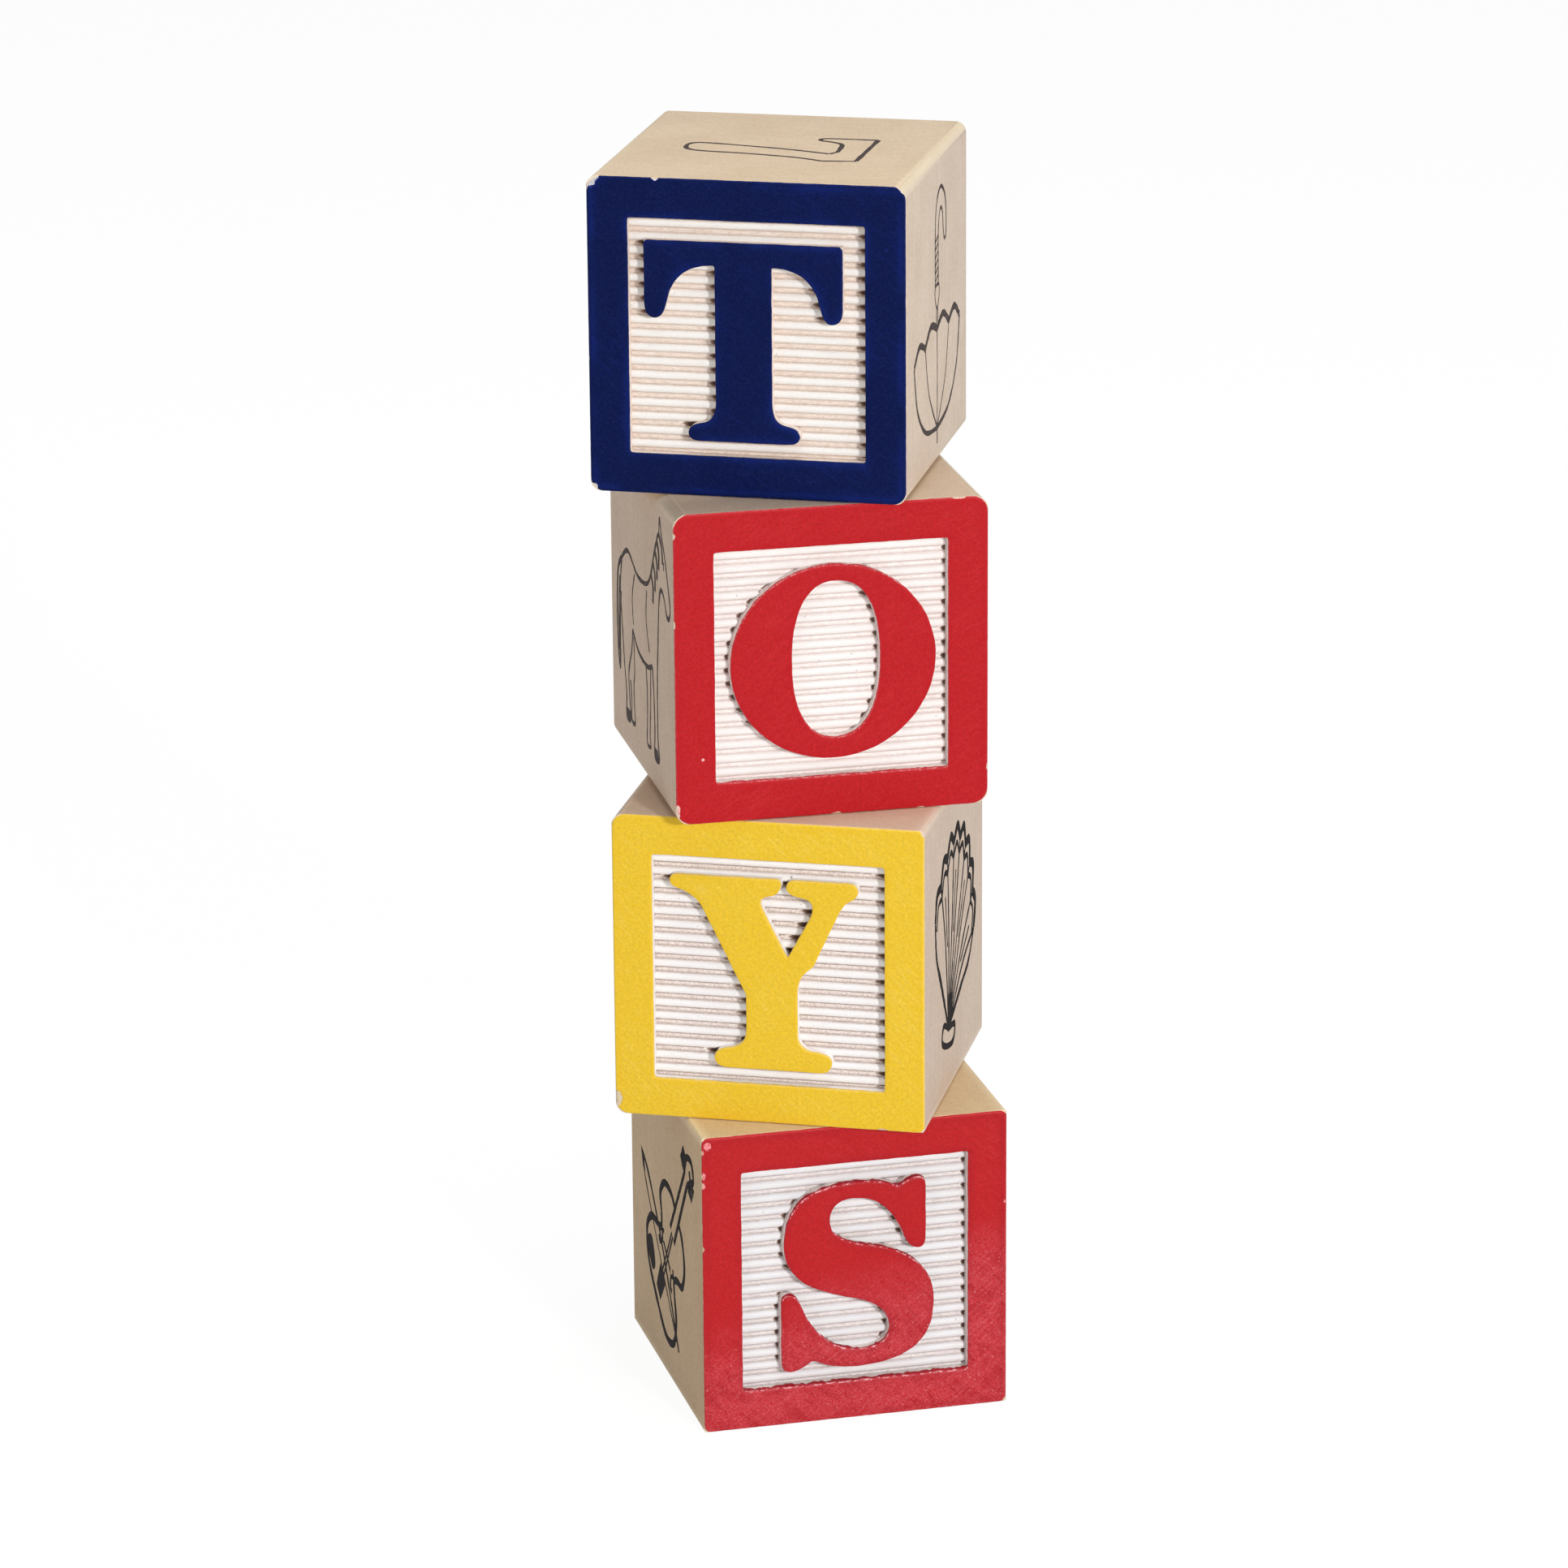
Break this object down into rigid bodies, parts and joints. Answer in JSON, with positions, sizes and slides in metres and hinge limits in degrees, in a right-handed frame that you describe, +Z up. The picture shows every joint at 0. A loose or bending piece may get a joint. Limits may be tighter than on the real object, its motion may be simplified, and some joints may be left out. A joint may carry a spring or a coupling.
{
  "type": "stack of wooden alphabet blocks",
  "caption": "Stack of loose cubic wooden alphabet blocks with painted raised letters and frames on ribbed grounds; each block lifts off.",
  "frame": {"origin": "centre of the bottom block's base, on the surface that the stack stands on", "axes": "+Z up along the stack; -Y towards the viewer who reads the letters; +X to that viewer's right"},
  "size_m": [0.0387, 0.0411, 0.12],
  "materials": {
    "bare_wood": "bare fine-sanded pale hardwood",
    "red_enamel": "semi-gloss roller-coated enamel on wood",
    "yellow_enamel": "semi-gloss roller-coated enamel on wood",
    "blue_enamel": "semi-gloss roller-coated enamel on wood",
    "white_coat": "thin matt white roller coat on wood"
  },
  "bodies": {
    "block_s": {"s_cube": "bare_wood", "s_front_frame_enamel": "red_enamel", "s_front_letter_enamel": "red_enamel", "s_front_rib_white": "white_coat", "s_back_frame_enamel": "red_enamel", "s_back_letter_enamel": "red_enamel", "s_back_rib_white": "white_coat"},
    "block_y": {"y_cube": "bare_wood", "y_front_frame_enamel": "yellow_enamel", "y_front_letter_enamel": "yellow_enamel", "y_front_rib_white": "white_coat", "y_back_frame_enamel": "yellow_enamel", "y_back_letter_enamel": "yellow_enamel", "y_back_rib_white": "white_coat"},
    "block_o": {"o_cube": "bare_wood", "o_front_frame_enamel": "red_enamel", "o_front_letter_enamel": "red_enamel", "o_front_rib_white": "white_coat", "o_back_frame_enamel": "red_enamel", "o_back_letter_enamel": "red_enamel", "o_back_rib_white": "white_coat"},
    "block_t": {"t_cube": "bare_wood", "t_front_frame_enamel": "blue_enamel", "t_front_letter_enamel": "blue_enamel", "t_front_rib_white": "white_coat", "t_back_frame_enamel": "blue_enamel", "t_back_letter_enamel": "blue_enamel", "t_back_rib_white": "white_coat"}
  },
  "joints": [
    {"name": "y_block_lift", "type": "slide", "parent": "block_s", "child": "block_y", "axis": [0, 0, 1], "range_m": [0, 0.04]},
    {"name": "o_block_lift", "type": "slide", "parent": "block_y", "child": "block_o", "axis": [0, 0, 1], "range_m": [0, 0.04]},
    {"name": "t_block_lift", "type": "slide", "parent": "block_o", "child": "block_t", "axis": [0, 0, 1], "range_m": [0, 0.04]}
  ]
}
